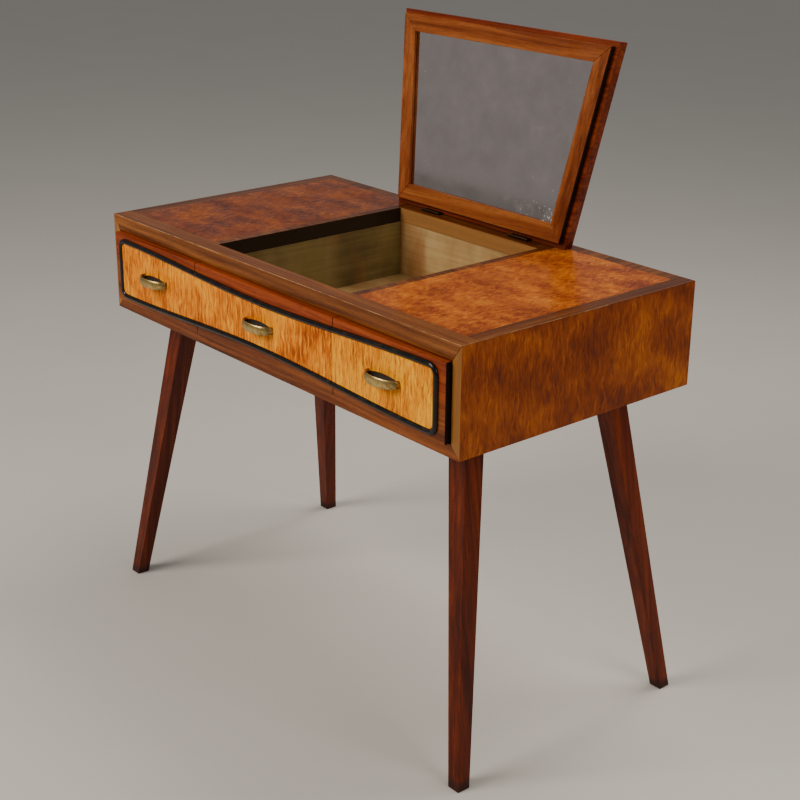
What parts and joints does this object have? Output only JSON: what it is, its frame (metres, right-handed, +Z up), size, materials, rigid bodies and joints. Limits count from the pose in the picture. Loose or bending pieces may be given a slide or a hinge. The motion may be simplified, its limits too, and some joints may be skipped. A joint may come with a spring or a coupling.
{
  "type": "dressing table",
  "caption": "Low dressing table on splayed tapered legs, with side drawers, an open centre well and a framed mirror lid that folds down over it.",
  "frame": {"origin": "on the floor, under the middle of the overall box with the mirror lid open", "axes": "+Z up, -Y towards the drawer fronts, +X to the right seen from the front"},
  "size_m": [1.017, 0.6016, 1.1348],
  "materials": {
    "burl": "burl veneer under an old shellac polish, warm orange brown, crossbanded in straight grain on the top",
    "mahogany": "polished straight grained mahogany, red brown",
    "rosewood": "dark red brown polished hardwood with fine straight grain",
    "maple": "pale maple, satin, a little stained",
    "ebonised": "black ebonised moulding, glossy",
    "brass": "aged brass with dark patina in the hollows",
    "steel": "plain steel bolt",
    "mirror": "silvered glass with slight foxing",
    "pine": "unpolished pine"
  },
  "bodies": {
    "case": {"top_panel": "burl", "side_left": "burl", "side_right": "burl", "centre_veneer": "burl", "bottom_panel": "mahogany", "back_panel": "mahogany", "centre_front": "mahogany", "leg_front_left": "rosewood", "leg_front_right": "rosewood", "leg_rear_left": "rosewood", "leg_rear_right": "rosewood", "well_wall_left": "maple", "well_wall_right": "maple", "well_wall_front": "maple", "well_wall_back": "maple", "well_floor": "maple", "centre_bead_lower": "ebonised", "centre_bead_upper": "ebonised", "centre_pull": "brass", "case_leaf_left": "brass", "case_leaf_right": "brass", "hinge_pin_left": "brass", "hinge_pin_right": "brass", "leg_bolt_front_left": "steel", "leg_bolt_front_right": "steel", "leg_bolt_rear_left": "steel", "leg_bolt_rear_right": "steel", "left_runner_inner": "pine", "left_runner_outer": "pine", "right_runner_inner": "pine", "right_runner_outer": "pine", "left_drawer_stop": "pine", "right_drawer_stop": "pine"},
    "left_drawer": {"left_drawer_front": "mahogany", "left_drawer_veneer": "burl", "left_drawer_bead": "ebonised", "left_drawer_pull": "brass", "left_drawer_side_inner": "maple", "left_drawer_side_outer": "maple", "left_drawer_back": "maple", "left_drawer_bottom": "maple"},
    "right_drawer": {"right_drawer_front": "mahogany", "right_drawer_veneer": "burl", "right_drawer_bead": "ebonised", "right_drawer_pull": "brass", "right_drawer_side_inner": "maple", "right_drawer_side_outer": "maple", "right_drawer_back": "maple", "right_drawer_bottom": "maple"},
    "mirror_lid": {"lid_panel": "rosewood", "frame_rail_top": "mahogany", "frame_rail_bottom": "mahogany", "frame_rail_left": "mahogany", "frame_rail_right": "mahogany", "mirror_glass": "mirror", "lid_leaf_left": "brass", "lid_leaf_right": "brass"}
  },
  "joints": [
    {"name": "left_drawer_slide", "type": "slide", "parent": "case", "child": "left_drawer", "axis": [0, -1, 0], "range_m": [0, 0.34]},
    {"name": "right_drawer_slide", "type": "slide", "parent": "case", "child": "right_drawer", "axis": [0, -1, 0], "range_m": [0, 0.34]},
    {"name": "mirror_lid_hinge", "type": "hinge", "parent": "case", "child": "mirror_lid", "pos_m": [0, 0.21401, 0.7732], "axis": [1, 0, 0], "range_deg": [0, 99.2]}
  ]
}
